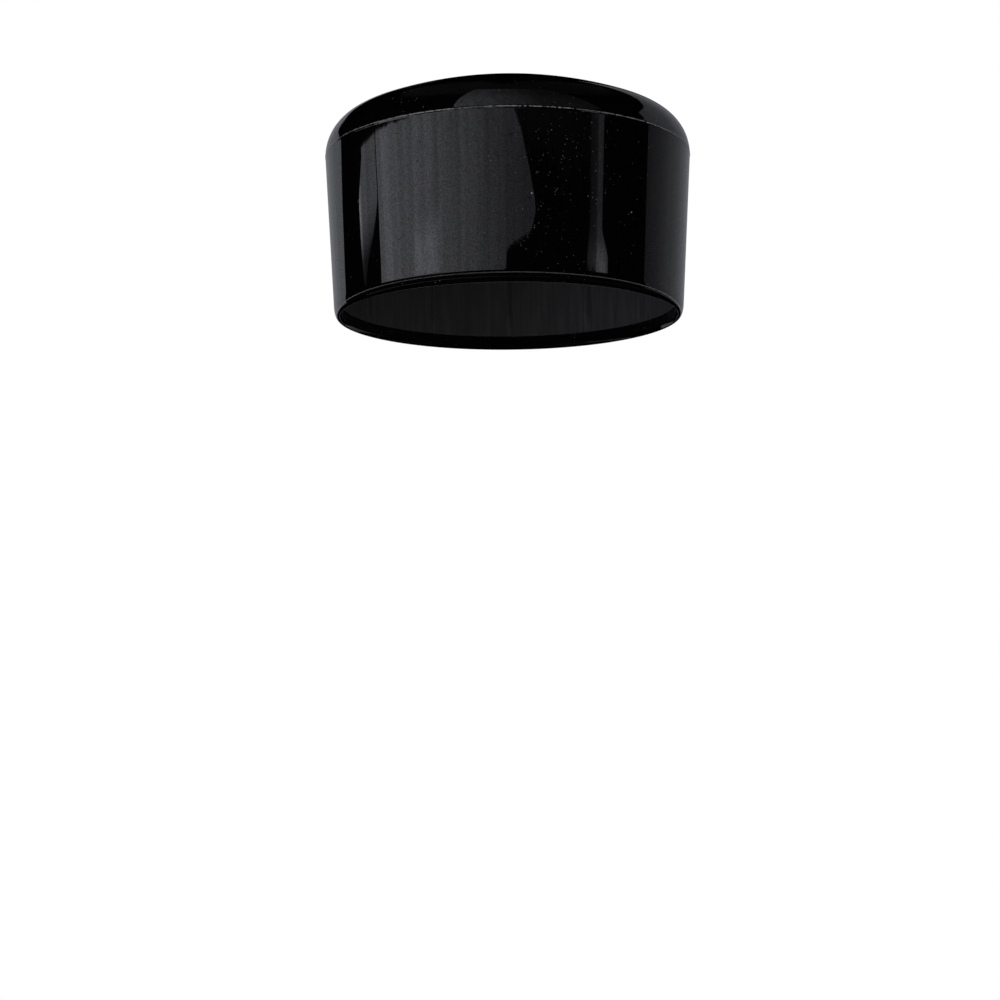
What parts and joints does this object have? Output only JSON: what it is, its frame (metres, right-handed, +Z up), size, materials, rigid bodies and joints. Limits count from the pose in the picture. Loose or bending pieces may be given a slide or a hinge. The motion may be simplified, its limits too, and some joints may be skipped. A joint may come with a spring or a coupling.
{
  "type": "fence post cap",
  "caption": "Push-on plastic cap for a round fence post: tapered skirt, rounded shoulder, shallow dome and a ribbed socket with a stop.",
  "frame": {"origin": "centre of the rim's plane, where the cap stands on a table", "axes": "+Z runs up the post's axis towards the crown; the cap is round, so +X and +Y are free"},
  "size_m": [0.0526, 0.0526, 0.0331],
  "materials": {
    "black_plastic": "glossy moulded black"
  },
  "bodies": {
    "root": {"post_cap": "black_plastic"}
  },
  "joints": []
}
